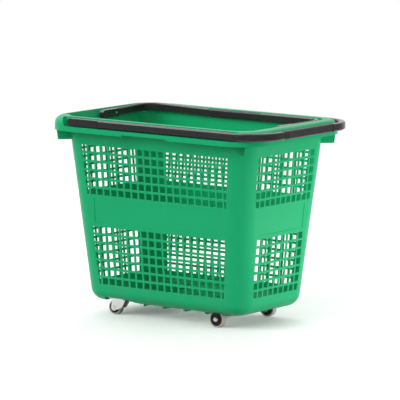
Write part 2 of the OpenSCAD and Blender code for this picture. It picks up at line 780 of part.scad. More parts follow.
// End fittings of the carry handle's arms, with a socket for the bar and a blind bore for the pin
module carry_arm_fittings() {
  arm_x = carry_half_l - carry_t / 2;
  color(handle_black) placed() both_ends() translate([0, 0, carry_z]) difference() {
    translate([carry_half_l - carry_t, 0, 0]) rotate([90, 0, 90]) linear_extrude(carry_t) {
      translate([-carry_tail + carry_h / 2, 0]) circle(d = carry_h);
      translate([-carry_tail + carry_h / 2, -carry_h / 2])
        square([carry_tail - carry_h / 2 + carry_fitting_l, carry_h]);
    }
    translate([arm_x, 0, 0]) along_y(carry_fitting_l - carry_spigot_l - end_fit, carry_fitting_l + over)
      square([carry_core_t, carry_core_h], center = true);
    bar_x(carry_pin_d + 2 * turn_fit, carry_half_l - carry_t + carry_skin, carry_half_l + over);
    translate([0, carry_rivet_y, 0]) bar_x(carry_rivet_d, carry_half_l - carry_t - over, arm_x);
  }
}

// The grip sleeve on the carry handle's back bar
module carry_grip() {
  color(handle_black) placed() translate([0, carry_reach - carry_t / 2, carry_z]) difference() {
    along_x(-carry_grip_l / 2, carry_grip_l / 2) bar_section(carry_t, carry_h, carry_chamfer);
    along_x(-carry_grip_l / 2 - over, carry_grip_l / 2 + over)
      square([carry_core_t, carry_core_h], center = true);
  }
}

// Bright rivets that hold the end fittings on the carry handle's bar
module carry_rivets() {
  face = carry_half_l - carry_t;
  color(zinc) placed() both_ends() translate([0, carry_rivet_y, carry_z]) {
    bar_x(carry_rivet_d, face - sink, face + carry_grip_t + carry_core_t);
    bar_x(rivet_head_d, face - rivet_head_h, face);
  }
}

// Pins pressed into the short walls' bosses, on which the carry handle turns
module carry_hinge_pins() {
  color(zinc) placed() both_ends() translate([0, 0, carry_z])
    bar_x(carry_pin_d, carry_half_l - carry_t + carry_skin + end_fit, half_l(carry_z) + carry_boss_l);
}

// The fixed wheels' steel axle, which runs through both lugs
module fixed_axle() {
  color(zinc) placed() translate([wheel_x, 0, axle_z]) bar_y(axle_d, -axle_half_l, axle_half_l);
}

// Spacers on the axle between the lugs and the wheels
module fixed_axle_spacers() {
  color(zinc) placed() both_sides() translate([wheel_x, 0, axle_z]) difference() {
    bar_y(spacer_d, lug_face, lug_face + spacer_l);
    bar_y(axle_d, lug_face - over, lug_face + spacer_l + over);
  }
}

// Domed push-on caps at the ends of the axle
module fixed_axle_caps() {
  base = wheel_face + end_fit;
  color(zinc) placed() both_sides() translate([wheel_x, 0, axle_z]) difference() {
    intersection() {
      translate([0, base, 0]) sphere(d = axle_cap_d);
      bar_y(axle_cap_d + over, base, base + axle_cap_d);
    }
    bar_y(axle_d, base - over, axle_half_l);
  }
}

// A wheel hub with a running bore, and the tyre on it, both centred on the wheel's middle
module wheel_hub(d, w, bore) {
  difference() {
    bar_y(d, -w / 2, w / 2);
    bar_y(bore, -w / 2 - over, w / 2 + over);
  }
}
module wheel_tyre(d, hub_d, w) {
  edge = tyre_edge * min(w, d - hub_d);
  rotate([-90, 0, 0]) rotate_extrude() polygon([
    [hub_d / 2, -w / 2], [d / 2 - edge, -w / 2], [d / 2, -w / 2 + edge],
    [d / 2, w / 2 - edge], [d / 2 - edge, w / 2], [hub_d / 2, w / 2]
  ]);
}
module at_fixed_wheel(side) { placed() translate([wheel_x, side * wheel_y, axle_z]) children(); }
module fixed_wheel_hub(side) {
  color(hub_black) at_fixed_wheel(side) wheel_hub(wheel_hub_d, wheel_w, axle_d + 2 * turn_fit);
}
module fixed_wheel_tyre(side) {
  color(tyre_grey) at_fixed_wheel(side) wheel_tyre(wheel_d, wheel_hub_d, wheel_w);
}
module fixed_wheel_hub_front() { fixed_wheel_hub(-1); }
module fixed_wheel_tyre_front() { fixed_wheel_tyre(-1); }
module fixed_wheel_hub_back() { fixed_wheel_hub(1); }
module fixed_wheel_tyre_back() { fixed_wheel_tyre(1); }

// Place of a caster's swivel axis, and of its wheel
module at_caster(side) { placed() translate([-caster_back, side * caster_y, 0]) children(); }
module at_caster_wheel(side) { at_caster(side) translate([-caster_trail, 0, caster_axle_z]) children(); }

// A caster's mounting plate, screwed under the tub
module caster_plate(side) {
  color(zinc) at_caster(side) difference() {
    translate([-plate_l / 2, -plate_l / 2, plate_z]) cube([plate_l, plate_l, plate_t]);
    translate([0, 0, plate_z - over]) cylinder(d = kingpin_d, h = plate_t + 2 * over);
    for (x = [-1, 1], y = [-1, 1]) translate([x * screw_spread, y * screw_spread, plate_z - over])
      cylinder(d = screw_d, h = plate_t + 2 * over);
  }
}

// The swivel race between plate and fork
module caster_race(side) {
  color(zinc) at_caster(side) translate([0, 0, race_z]) difference() {
    cylinder(d = race_d, h = race_h);
    translate([0, 0, -over]) cylinder(d = kingpin_d, h = race_h + 2 * over);
  }
}

// The kingpin, riveted in the plate, with its head under the fork's crown
module caster_kingpin(side) {
  color(zinc) at_caster(side) {
    translate([0, 0, crown_z - end_fit - sink])
      cylinder(d = kingpin_d, h = caster_top_z - crown_z + end_fit + sink);
    translate([0, 0, crown_z - end_fit - kingpin_head_h]) cylinder(d = kingpin_head_d, h = kingpin_head_h);
  }
}

// The pressed fork: a crown with two cheeks that taper to the axle
module caster_fork(side) {
  top = crown_z + fork_t;
  color(zinc) at_caster(side) difference() {
    union() {
      translate([-fork_l / 2, -fork_half_w, crown_z]) cube([fork_l, 2 * fork_half_w, fork_t]);
      both_sides() translate([0, fork_half_w, 0]) rotate([90, 0, 0]) linear_extrude(fork_t) {
        polygon([
          [-fork_l / 2, top], [-caster_trail - fork_foot_r, caster_axle_z],
          [-caster_trail + fork_foot_r * cos(45), caster_axle_z - fork_foot_r * sin(45)],
          [-caster_trail + fork_heel, caster_axle_z],
          [fork_l / 2, crown_z - fork_t], [fork_l / 2, top]
        ]);
        translate([-caster_trail, caster_axle_z]) circle(fork_foot_r);
      }
    }
    translate([0, 0, crown_z - over]) cylinder(d = kingpin_d + 2 * turn_fit, h = fork_t + 2 * over);
    translate([-caster_trail, 0, caster_axle_z])
      bar_y(caster_axle_d, -fork_half_w - over, fork_half_w + over);
  }
}

// The rivet that the caster wheel turns on
module caster_axle(side) {
  end = fork_half_w + rivet_end_h;
  color(zinc) at_caster_wheel(side) {
    bar_y(caster_axle_d, -fork_half_w, fork_half_w);
    both_sides() bar_y(rivet_end_d, fork_half_w, end);
  }
}
module caster_hub(side) {
  color(hub_black) at_caster_wheel(side) wheel_hub(caster_hub_d, caster_w, caster_axle_d + 2 * turn_fit);
}
module caster_tyre(side) {
  color(caster_grey) at_caster_wheel(side) wheel_tyre(caster_d, caster_hub_d, caster_w);
}

module caster_plate_front() { caster_plate(-1); }
module caster_race_front() { caster_race(-1); }
module caster_kingpin_front() { caster_kingpin(-1); }
module caster_fork_front() { caster_fork(-1); }
module caster_axle_front() { caster_axle(-1); }
module caster_hub_front() { caster_hub(-1); }
module caster_tyre_front() { caster_tyre(-1); }
module caster_plate_back() { caster_plate(1); }
module caster_race_back() { caster_race(1); }
module caster_kingpin_back() { caster_kingpin(1); }
module caster_fork_back() { caster_fork(1); }
module caster_axle_back() { caster_axle(1); }
module caster_hub_back() { caster_hub(1); }
module caster_tyre_back() { caster_tyre(1); }

// The screws that hold both mounting plates under the tub
module caster_screws() {
  color(zinc) placed() caster_screw_places() {
    translate([0, 0, plate_z - sink]) cylinder(d = screw_d, h = plate_t + caster_cap_t - over + sink);
    translate([0, 0, plate_z - screw_head_h]) cylinder(d = screw_head_d, h = screw_head_h);
  }
}

basket_tub();
mesh_panel_front_lower();
mesh_panel_front_upper();
mesh_panel_back_lower();
mesh_panel_back_upper();
mesh_panel_left_lower();
mesh_panel_left_upper();
mesh_panel_right_lower();
mesh_panel_right_upper();
pull_bar();
pull_arm_fittings();
pull_grip();
pull_hinge_pins();
carry_bar();
carry_bends();
carry_arms();
carry_arm_fittings();
carry_grip();
carry_rivets();
carry_hinge_pins();
fixed_axle();
fixed_axle_spacers();
fixed_axle_caps();
fixed_wheel_hub_front();
fixed_wheel_tyre_front();
fixed_wheel_hub_back();
fixed_wheel_tyre_back();
caster_plate_front();
caster_race_front();
caster_kingpin_front();
caster_fork_front();
caster_axle_front();
caster_hub_front();
caster_tyre_front();
caster_plate_back();
caster_race_back();
caster_kingpin_back();
caster_fork_back();
caster_axle_back();
caster_hub_back();
caster_tyre_back();
caster_screws();
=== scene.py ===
import math
import bpy
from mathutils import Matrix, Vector


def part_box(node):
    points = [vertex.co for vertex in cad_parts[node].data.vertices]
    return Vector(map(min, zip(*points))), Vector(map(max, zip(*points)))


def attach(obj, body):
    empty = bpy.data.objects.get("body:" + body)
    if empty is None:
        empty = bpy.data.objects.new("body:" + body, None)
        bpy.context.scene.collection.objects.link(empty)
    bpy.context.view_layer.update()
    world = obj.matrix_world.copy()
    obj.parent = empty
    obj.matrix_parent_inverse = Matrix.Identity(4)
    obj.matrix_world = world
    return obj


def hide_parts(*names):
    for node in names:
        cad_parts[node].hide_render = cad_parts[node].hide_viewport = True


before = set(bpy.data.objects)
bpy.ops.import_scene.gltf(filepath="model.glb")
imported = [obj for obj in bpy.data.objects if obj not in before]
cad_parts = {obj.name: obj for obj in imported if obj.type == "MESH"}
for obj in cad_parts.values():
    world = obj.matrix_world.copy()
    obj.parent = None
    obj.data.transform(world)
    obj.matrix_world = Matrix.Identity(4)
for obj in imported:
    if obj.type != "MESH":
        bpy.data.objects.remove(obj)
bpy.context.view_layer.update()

# The basket's tub: one injection moulding in green plastic with a fine matt grain, open at the top.
# Its rim carries a raised land around the mouth, and a channel outside the land for the pull handle.
# The tool breaks all edges of the moulding, but the wall is flush around the mesh fields.


class Wire:
    """A socket of a finish's nodes, so that shader maths reads as plain sums."""

    def __init__(self, finish, socket):
        self.finish = finish
        self.socket = socket

    def maths(self, operation, a, b):
        return self.finish.add("ShaderNodeMath", {"operation": operation}, {0: a, 1: b})

    def __add__(self, other):
        return self.maths("ADD", self, other)

    def __radd__(self, other):
        return self.maths("ADD", other, self)

    def __sub__(self, other):
        return self.maths("SUBTRACT", self, other)

    def __rsub__(self, other):
        return self.maths("SUBTRACT", other, self)

    def __mul__(self, other):
        return self.maths("MULTIPLY", self, other)

    def __rmul__(self, other):
        return self.maths("MULTIPLY", other, self)


class Finish:
    """A material whose nodes are added one by one."""

    def __init__(self, name):
        self.material = bpy.data.materials.new(name)
        self.material.use_nodes = True
        self.nodes = self.material.node_tree.nodes
        self.links = self.material.node_tree.links
        self.shader = self.nodes["Principled BSDF"]

    def put(self, socket, value):
        if isinstance(value, Wire):
            self.links.new(value.socket, socket)
        else:
            socket.default_value = value

    def add(self, kind, settings, inputs, output=0):
        node = self.nodes.new(kind)
        for name, value in settings.items():
            setattr(node, name, value)
        for name, value in inputs.items():
            self.put(node.inputs[name], value)
        return Wire(self, node.outputs[output])

    def place(self):
        return self.add("ShaderNodeTexCoord", {}, {}, "Object")

    def noise(self, scale, detail=2, stretch=(1, 1, 1)):
        spot = self.add("ShaderNodeMapping", {}, {"Vector": self.place(), "Scale": stretch})
        return self.add("ShaderNodeTexNoise", {}, {"Vector": spot, "Scale": scale, "Detail": detail})

    def mask(self, value, low, high):
        return self.add("ShaderNodeMapRange", {"interpolation_type": "SMOOTHSTEP"},
                        {"Value": value, "From Min": low, "From Max": high})

    def blend(self, share, first, second):
        return self.add("ShaderNodeMix", {"data_type": "RGBA"}, {0: share, 6: first, 7: second}, 2)

    def grain(self, height, distance, strength=1.0):
        return self.add("ShaderNodeBump", {}, {"Height": height, "Distance": distance, "Strength": strength})

    def dress(self, **inputs):
        for name, value in inputs.items():
            self.put(self.shader.inputs[name.replace("_", " ")], value)


moulding = Finish("green_moulding")
cloudy = moulding.noise(9, 3)
scuffs = moulding.mask(moulding.noise(70, 5, (1, 1, 0.12)), 0.62, 0.78)
height = moulding.add("ShaderNodeSeparateXYZ", {}, {"Vector": moulding.place()}, "Z")
dust = (1 - moulding.mask(height, 0.03, 0.11)) * moulding.mask(moulding.noise(38, 4), 0.4, 0.75)
green = moulding.blend(cloudy, (0.0075, 0.400, 0.156, 1), (0.0100, 0.435, 0.172, 1))
green = moulding.blend(scuffs * 0.14, green, (0.08, 0.52, 0.27, 1))
green = moulding.blend(dust * 0.18, green, (0.14, 0.22, 0.16, 1))
moulding.dress(
    Base_Color=green,
    Roughness=0.3 + 0.1 * cloudy + 0.16 * dust,
    Specular_IOR_Level=0.16,
    Normal=moulding.grain(moulding.noise(1900, 2), 0.00006, 0.5),
)


def only(piece):
    """Selects one piece and nothing else."""
    if bpy.context.object and bpy.context.object.mode != "OBJECT":
        bpy.ops.object.mode_set(mode="OBJECT")
    bpy.ops.object.select_all(action="DESELECT")
    bpy.context.view_layer.objects.active = piece
    piece.select_set(True)


SHARP_ANGLE, FLAT_ANGLE = 35, 0.3
WELD_GAP = 2e-6


def fitted(piece, body, finish, nodes, edge, segments=2, limit="ANGLE", angle=SHARP_ANGLE):
    """Breaks a piece's edges, gives it its finish, and fits it to its body in place of its nodes."""
    only(piece)
    bpy.ops.object.shade_smooth_by_angle(angle=math.radians(angle))
    bevel = piece.modifiers.new("broken_edges", "BEVEL")
    bevel.limit_method = limit
    bevel.angle_limit = math.radians(angle)
    bevel.width = edge
    bevel.segments = segments
    flat = piece.modifiers.new("flat_faces", "WEIGHTED_NORMAL")
    flat.keep_sharp = True
    for modifier in list(piece.modifiers):
        bpy.ops.object.modifier_apply(modifier=modifier.name)
    piece.data.materials.clear()
    piece.data.materials.append(finish.material)
    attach(piece, body)
    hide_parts(*nodes)


def softened(node, body, finish, edge, share=None, segments=2, angle=SHARP_ANGLE, split=False):
    """A copy of a node with its triangles merged and its sharp edges broken, in the node's place."""
    piece = bpy.data.objects.new(node + "_soft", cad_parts[node].data.copy())
    bpy.context.scene.collection.objects.link(piece)
    only(piece)
    bpy.ops.object.mode_set(mode="EDIT")
    bpy.ops.mesh.select_all(action="SELECT")
    bpy.ops.mesh.customdata_custom_splitnormals_clear()
    bpy.ops.mesh.remove_doubles(threshold=WELD_GAP)
    bpy.ops.mesh.dissolve_limited(angle_limit=math.radians(FLAT_ANGLE))
    if split:
        bpy.ops.mesh.vert_connect_concave()
    bpy.ops.mesh.select_mode(type="EDGE")
    bpy.ops.mesh.select_all(action="DESELECT")
    bpy.ops.mesh.edges_select_sharp(sharpness=math.radians(angle))
    bpy.ops.object.mode_set(mode="OBJECT")
    mesh = piece.data
    weights = mesh.attributes.new("bevel_weight_edge", "FLOAT", "EDGE")
    for line in mesh.edges:
        if line.select:
            a, b = (mesh.vertices[i].co for i in line.vertices)
            weights.data[line.index].value = share(a, b) if share else 1
    fitted(piece, body, finish, [node], edge, segments, "WEIGHT", angle)


MOUTH_ROUND, RIM_SHARE, LABEL_SHARE = 0.0012, 0.6, 0.3
LAND_Z, RIM_Z, UNDERSIDE_Z = 0.4125, 0.36, 0.05
LABEL_LOW_Z, LABEL_HIGH_Z = 0.191, 0.248


def tub_edges(a, b):
    """How much of the mouth's rounding an edge of the tub gets: all on the land, none at the windows."""
    low, high = min(a.z, b.z), max(a.z, b.z)
    if low > LAND_Z:
        return 1
    if low > RIM_Z or high < UNDERSIDE_Z:
        return RIM_SHARE
    return LABEL_SHARE if low > LABEL_LOW_Z and high < LABEL_HIGH_Z else 0


softened("basket_tub", "basket", moulding, MOUTH_ROUND, tub_edges, 3)

# The mesh fields of the four walls: square holes moulded through the wall, with slightly rounded bars.
# They are one with the tub, so their outer edges stay sharp and flush.

DRAFT = math.tan(math.radians(5.4))
HOLE_ROUND = 0.0006
FRAME_LEVEL, FRAME_SIDE = 0.001, 0.0012

for node in [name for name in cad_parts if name.startswith("mesh_panel")]:
    low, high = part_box(node)
    along = 0 if "front" in node or "back" in node else 1
    middle = (low[along] + high[along]) / 2
    reach = (high[along] - low[along]) / 2

    def hole_edges(a, b):
        """All edges of the holes, but none around the outside of the field."""
        for point in (a, b):
            side = reach - (high.z - point.z) * DRAFT
            if point.z < low.z + FRAME_LEVEL or point.z > high.z - FRAME_LEVEL:
                return 0
            if abs(abs(point[along] - middle) - side) < FRAME_SIDE:
                return 0
        return 1

    softened(node, "basket", moulding, HOLE_ROUND, hole_edges, split=True)

# The casters' pressed and turned steel: plates screwed up into the tub, a race and a kingpin in each,
# and a fork whose crown and cheeks are bent from one sheet, with a riveted axle. All of it is zinc plated.

zinc = Finish("bright_zinc")
brushed = zinc.noise(420, 4, (1, 0.15, 1))
zinc.dress(
    Base_Color=zinc.blend(zinc.noise(55, 3), (0.66, 0.66, 0.65, 1), (0.76, 0.76, 0.75, 1)),
    Metallic=1.0,
    Roughness=0.24 + 0.18 * brushed,
    Normal=zinc.grain(brushed, 0.00003, 0.4),
)

STEEL_BREAK, SCREW_ROUND, FORK_ROUND, RIVET_ROUND = 0.0003, 0.0004, 0.0005, 0.0006

for side in ("front", "back"):
    for kind in ("plate", "race", "kingpin"):
        softened(f"caster_{kind}_{side}", "basket", zinc, STEEL_BREAK)
    softened(f"caster_fork_{side}", f"caster_{side}", zinc, FORK_ROUND, segments=3)
    softened(f"caster_axle_{side}", f"caster_{side}", zinc, RIVET_ROUND, segments=3)
softened("caster_screws", "basket", zinc, SCREW_ROUND)

# The caster wheels: black plastic hubs, dished on both sides around a boss, in grey rubber tyres.
# Each is turned here from a plain round blank, and its twin is a copy on the other side.

black = Finish("hub_black")
black.dress(
    Base_Color=black.blend(black.noise(80, 3), (0.005, 0.005, 0.0055, 1), (0.009, 0.009, 0.0095, 1)),
    Roughness=0.42 + 0.1 * black.noise(120, 3),
    Specular_IOR_Level=0.3,
)
grey = Finish("grey_rubber")
grey.dress(
    Base_Color=grey.blend(grey.noise(90, 4), (0.33, 0.32, 0.30, 1), (0.42, 0.41, 0.39, 1)),
    Roughness=0.66 + 0.1 * grey.noise(200, 3),
    Normal=grey.grain(grey.noise(900, 3), 0.0001, 0.5),
)

BLANK_SIDES = 72
SQUARE_ON = 0.9
HUB_LIP, HUB_DISH, HUB_ROUND = 0.0016, 0.0012, 0.0004
TYRE_ROUND = 0.0012
CASTER_BOSS, CASTER_BORE = 0.0050, 0.0027


def blank(node):
    """A plain round blank that fills a wheel node's box, its axis across the basket."""
    low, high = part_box(node)
    bpy.ops.object.select_all(action="DESELECT")
    bpy.ops.mesh.primitive_cylinder_add(
        vertices=BLANK_SIDES, radius=(high.x - low.x) / 2, depth=high.y - low.y,
        location=(low + high) / 2, rotation=(math.pi / 2, 0, 0),
    )
    bpy.ops.object.transform_apply()
    piece = bpy.context.object
    piece.name = node + "_turned"
    return piece


def pick(piece, test):
    """Selects the faces whose centre and normal pass a test, ready to be shaped."""
    only(piece)
    bpy.ops.object.mode_set(mode="EDIT")
    bpy.ops.mesh.select_mode(type="FACE")
    bpy.ops.mesh.select_all(action="DESELECT")
    bpy.ops.object.mode_set(mode="OBJECT")
    for face in piece.data.polygons:
        face.select = test(face.center, face.normal)
    bpy.ops.object.mode_set(mode="EDIT")


def is_end(centre, normal):
    """Whether a face is one of a blank's two flat ends."""
    return abs(normal.y) > SQUARE_ON


def bored():
    """Opens the two faces that are selected, and joins them by a bore."""
    bpy.ops.mesh.delete(type="FACE")
    bpy.ops.mesh.select_mode(type="EDGE")
    bpy.ops.mesh.select_all(action="DESELECT")
    bpy.ops.mesh.select_non_manifold()
    bpy.ops.mesh.bridge_edge_loops()
    bpy.ops.mesh.select_all(action="SELECT")
    bpy.ops.mesh.normals_make_consistent(inside=False)
    bpy.ops.object.mode_set(mode="OBJECT")


def turned_hub(node, boss, bore):
    """A hub with a lip around a dished web, and a boss around its bore."""
    piece = blank(node)
    radius = piece.dimensions.x / 2
    pick(piece, is_end)
    bpy.ops.mesh.inset(thickness=HUB_LIP, use_individual=True)
    bpy.ops.mesh.extrude_region_shrink_fatten(TRANSFORM_OT_shrink_fatten={"value": -HUB_DISH})
    bpy.ops.mesh.inset(thickness=radius - HUB_LIP - boss, use_individual=True)
    bpy.ops.mesh.extrude_region_shrink_fatten(TRANSFORM_OT_shrink_fatten={"value": HUB_DISH})
    bpy.ops.mesh.inset(thickness=boss - bore, use_individual=True)
    bored()
    return piece


def turned_tyre(node, hub):
    """A tyre that sits tight around a hub."""
    piece = blank(node)
    low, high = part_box(hub)
    pick(piece, is_end)
    bpy.ops.mesh.inset(thickness=(piece.dimensions.x - high.x + low.x) / 2, use_individual=True)
    bored()
    return piece


def twin(piece, node):
    """A copy of a front piece in its back node's place."""
    only(piece)
    bpy.ops.object.duplicate()
    bpy.ops.transform.translate(value=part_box(node)[0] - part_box(node.replace("back", "front"))[0])
    bpy.ops.object.transform_apply()
    bpy.context.object.name = node + "_turned"
    return bpy.context.object


def wheel_pair(wheel, hub, tyre, rubber, boss, bore):
    """Both wheels of a kind: the front one turned, the back one its twin."""
    front_hub = turned_hub(hub + "_front", boss, bore)
    front_tyre = turned_tyre(tyre + "_front", hub + "_front")
    back_hub = twin(front_hub, hub + "_back")
    back_tyre = twin(front_tyre, tyre + "_back")
    for side, core, ring in (("front", front_hub, front_tyre), ("back", back_hub, back_tyre)):
        fitted(core, f"{wheel}_{side}", black, [f"{hub}_{side}"], HUB_ROUND)
        fitted(ring, f"{wheel}_{side}", rubber, [f"{tyre}_{side}"], TYRE_ROUND, 4)


wheel_pair("caster_wheel", "caster_hub", "caster_tyre", grey, CASTER_BOSS, CASTER_BORE)

# The fixed wheels: larger black hubs in pale rubber tyres, on one steel axle through two lugs of the tub.
# A spacer keeps each wheel off its lug, and a bright cap is pressed on each end of the axle.

pale = Finish("pale_rubber")
pale.dress(
    Base_Color=pale.blend(pale.noise(90, 4), (0.42, 0.38, 0.33, 1), (0.52, 0.47, 0.41, 1)),
    Roughness=0.7 + 0.1 * pale.noise(200, 3),
    Normal=pale.grain(pale.noise(900, 3), 0.0001, 0.5),
)

FIXED_BOSS, FIXED_BORE = 0.0068, 0.0032
CAP_ROUND = 0.0005

softened("fixed_axle", "basket", zinc, STEEL_BREAK)
softened("fixed_axle_spacers", "basket", zinc, STEEL_BREAK)
wheel_pair("fixed_wheel", "fixed_wheel_hub", "fixed_wheel_tyre", pale, FIXED_BOSS, FIXED_BORE)
softened("fixed_axle_caps", "basket", zinc, CAP_ROUND, segments=3)

# The pull handle: a charcoal plastic bar with chamfered edges that lies in the rim's channel and runs around
# the end. Each arm ends in a fitting that turns on a pin in the rim, and a sleeve covers the crossbar's core.

charcoal = Finish("charcoal_bar")
cloudy = charcoal.noise(24, 3)
rubbed = charcoal.mask(charcoal.noise(150, 4, (0.2, 1, 1)), 0.58, 0.8)
charcoal.dress(
    Base_Color=charcoal.blend(rubbed * 0.5, (0.024, 0.0235, 0.024, 1), (0.038, 0.0375, 0.038, 1)),
    Roughness=0.16 + 0.08 * cloudy + 0.1 * rubbed,
    Specular_IOR_Level=0.45,
    Normal=charcoal.grain(charcoal.noise(2200, 2), 0.00004, 0.4),
)
sleeve = Finish("grip_sleeve")
sleeve.dress(
    Base_Color=sleeve.blend(sleeve.noise(60, 4), (0.016, 0.0157, 0.016, 1), (0.022, 0.0216, 0.022, 1)),
    Roughness=0.34 + 0.1 * sleeve.noise(90, 3),
    Specular_IOR_Level=0.3,
    Normal=sleeve.grain(sleeve.noise(1500, 2), 0.00006, 0.5),
)

BEND_STEPS = 16
BAR_ANGLE, BAR_ROUND = 25, 0.0007
TOUCH = 0.0005


class Bar:
    """A level bar that is drawn out from its chamfered end face by runs, bends and necks."""

    def __init__(self, name, start, heading, wide, high, chamfer):
        self.at = Vector(start)
        self.heading = heading
        self.wide, self.high = wide, high
        bpy.ops.object.select_all(action="DESELECT")
        bpy.ops.mesh.primitive_plane_add(
            size=1, location=start, rotation=(math.pi / 2, 0, math.radians(90 + heading)))
        self.piece = bpy.context.object
        self.piece.name = name
        self.piece.scale = (wide, high, 1)
        bpy.ops.object.transform_apply()
        bpy.ops.object.mode_set(mode="EDIT")
        bpy.ops.mesh.bevel(offset=chamfer, affect="VERTICES")

    def ahead(self, length, turn=0):
        angle = math.radians(self.heading + turn)
        return Vector((math.cos(angle), math.sin(angle), 0)) * length

    def run(self, length):
        bpy.ops.mesh.extrude_region_move(TRANSFORM_OT_translate={"value": self.ahead(length)})
        self.at += self.ahead(length)

    def bend(self, degrees, radius):
        side = math.copysign(90, degrees)
        middle = self.at + self.ahead(radius, side)
        bpy.ops.mesh.spin(steps=BEND_STEPS, angle=-math.radians(degrees), center=middle, axis=(0, 0, 1))
        self.heading += degrees
        self.at = middle + self.ahead(radius, -side)

    def neck(self, wide, high):
        across = self.ahead(wide / self.wide - 1, 90)
        bpy.ops.mesh.extrude_region_move(TRANSFORM_OT_translate={"value": (0, 0, 0)})
        bpy.ops.transform.resize(
            value=(1 + math.copysign(abs(across.x), wide - self.wide),
                   1 + math.copysign(abs(across.y), wide - self.wide), high / self.high),
            center_override=self.at,
        )
        self.wide, self.high = wide, high

    def finished(self):
        bpy.ops.mesh.select_all(action="SELECT")
        bpy.ops.mesh.remove_doubles(threshold=WELD_GAP)
        bpy.ops.mesh.normals_make_consistent(inside=False)
        bpy.ops.object.mode_set(mode="OBJECT")
        return self.piece


PULL_WIDE, PULL_HIGH, PULL_CHAMFER = 0.0140, 0.0160, 0.0025
PULL_CORE_WIDE, PULL_CORE_HIGH = 0.0094, 0.0114
PULL_BEND = 0.0660
PULL_SOCKET = 0.0183

low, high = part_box("pull_bar")
grip_low, grip_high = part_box("pull_grip")
pull_z = (low.z + high.z) / 2
arm = high.x - PULL_WIDE / 2 - PULL_BEND - low.x
shoulder = high.y - PULL_WIDE / 2 - PULL_BEND - grip_high.y

bar = Bar("pull_bar_drawn", (low.x, low.y + PULL_WIDE / 2, pull_z), 0, PULL_WIDE, PULL_HIGH, PULL_CHAMFER)
bar.run(arm)
bar.bend(90, PULL_BEND)
bar.run(shoulder)
bar.neck(PULL_CORE_WIDE, PULL_CORE_HIGH)
bar.run(grip_high.y - grip_low.y)
bar.neck(PULL_WIDE, PULL_HIGH)
bar.run(shoulder)
bar.bend(90, PULL_BEND)
bar.run(arm)
pull_bar = bar.finished()
pick(pull_bar, lambda centre, normal: normal.x < -SQUARE_ON and centre.x < low.x + TOUCH)
bpy.ops.mesh.inset(thickness=(PULL_WIDE - PULL_CORE_WIDE) / 2, use_individual=True)
bpy.ops.mesh.extrude_region_move(TRANSFORM_OT_translate={"value": (PULL_SOCKET, 0, 0)})
fitted(pull_bar, "pull_handle", charcoal, ["pull_bar"], BAR_ROUND, 3, angle=BAR_ANGLE)

COLLAR, COLLAR_CHAMFER = 0.0050, 0.0028
GROOVE, GROOVE_DEEP = 0.0016, 0.0008
SEAM, SEAM_DEEP = 0.0005, 0.0002
PALM_SHY = 0.0005
GRIP_ROUND = 0.0005

collar_wide, collar_high = grip_high.x - grip_low.x, grip_high.z - grip_low.z
palm = grip_high.y - grip_low.y - 2 * (COLLAR + GROOVE)
grip = Bar("pull_grip_drawn", ((grip_low.x + grip_high.x) / 2, grip_low.y, pull_z), 90,
           collar_wide, collar_high, COLLAR_CHAMFER)
grip.run(COLLAR)
grip.neck(PULL_WIDE - 2 * GROOVE_DEEP, PULL_HIGH - 2 * GROOVE_DEEP)
grip.run(GROOVE)
grip.neck(collar_wide - PALM_SHY, collar_high - PALM_SHY)
grip.run(palm)
grip.neck(PULL_WIDE - 2 * GROOVE_DEEP, PULL_HIGH - 2 * GROOVE_DEEP)
grip.run(GROOVE)
grip.neck(collar_wide, collar_high)
grip.run(COLLAR)
pull_grip = grip.finished()
only(pull_grip)
bpy.ops.object.mode_set(mode="EDIT")
for line in (pull_z - SEAM, pull_z + SEAM):
    bpy.ops.mesh.select_all(action="SELECT")
    bpy.ops.mesh.bisect(plane_co=(0, 0, line), plane_no=(0, 0, 1))
pick(pull_grip, lambda centre, normal: abs(normal.x) > SQUARE_ON and abs(centre.z - pull_z) < SEAM
     and abs(centre.y) < palm / 2)
bpy.ops.mesh.extrude_region_shrink_fatten(TRANSFORM_OT_shrink_fatten={"value": SEAM_DEEP})
pick(pull_grip, lambda centre, normal: is_end(centre, normal) and abs(centre.y) > grip_high.y - TOUCH)
bpy.ops.mesh.dissolve_faces()
bpy.ops.mesh.inset(thickness=(collar_wide - PULL_CORE_WIDE) / 2, use_individual=True)
bored()
fitted(pull_grip, "pull_handle", sleeve, ["pull_grip"], GRIP_ROUND, 3, angle=BAR_ANGLE)

FINE_SHARE = 0.25


def eye_edges(pin, along, joint, half):
    """The bar's own chamfer around the outline of a fitting's eye, and a fine break on its other edges."""
    low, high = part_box(pin)
    middle = (low + high) / 2

    def from_pin(point):
        return math.hypot(min(point[along] - middle[along], 0), point.z - middle.z)

    def share(a, b):
        outline = all(from_pin(point) > half - TOUCH for point in (a, b))
        at_joint = all(abs(point[along] - joint) < TOUCH for point in (a, b))
        return 1 if outline and not at_joint else FINE_SHARE

    return share


softened("pull_arm_fittings", "pull_handle", charcoal, PULL_CHAMFER,
         eye_edges("pull_hinge_pins", 0, low.x, PULL_HIGH / 2), segments=3, angle=BAR_ANGLE)
softened("pull_hinge_pins", "basket", zinc, STEEL_BREAK)

# The carry handle: a flat charcoal bail inside the mouth, bent twice, with a sleeve on its back bar.
# Its arms are tongues in two end fittings, held by bright rivets, that turn on pins in the short walls.

BAIL_THICK, BAIL_HIGH, BAIL_CHAMFER = 0.0100, 0.0170, 0.0030
BAIL_CORE_THICK, BAIL_CORE_HIGH, BAIL_CORE_CHAMFER = 0.0064, 0.0134, 0.0018
BAIL_BEND = 0.0350
BAIL_SPRING, BAIL_SPRING_REACH = 0.0028, 0.100
SLEEVE_ROUND, RIVET_DOME = 0.0006, 0.0008

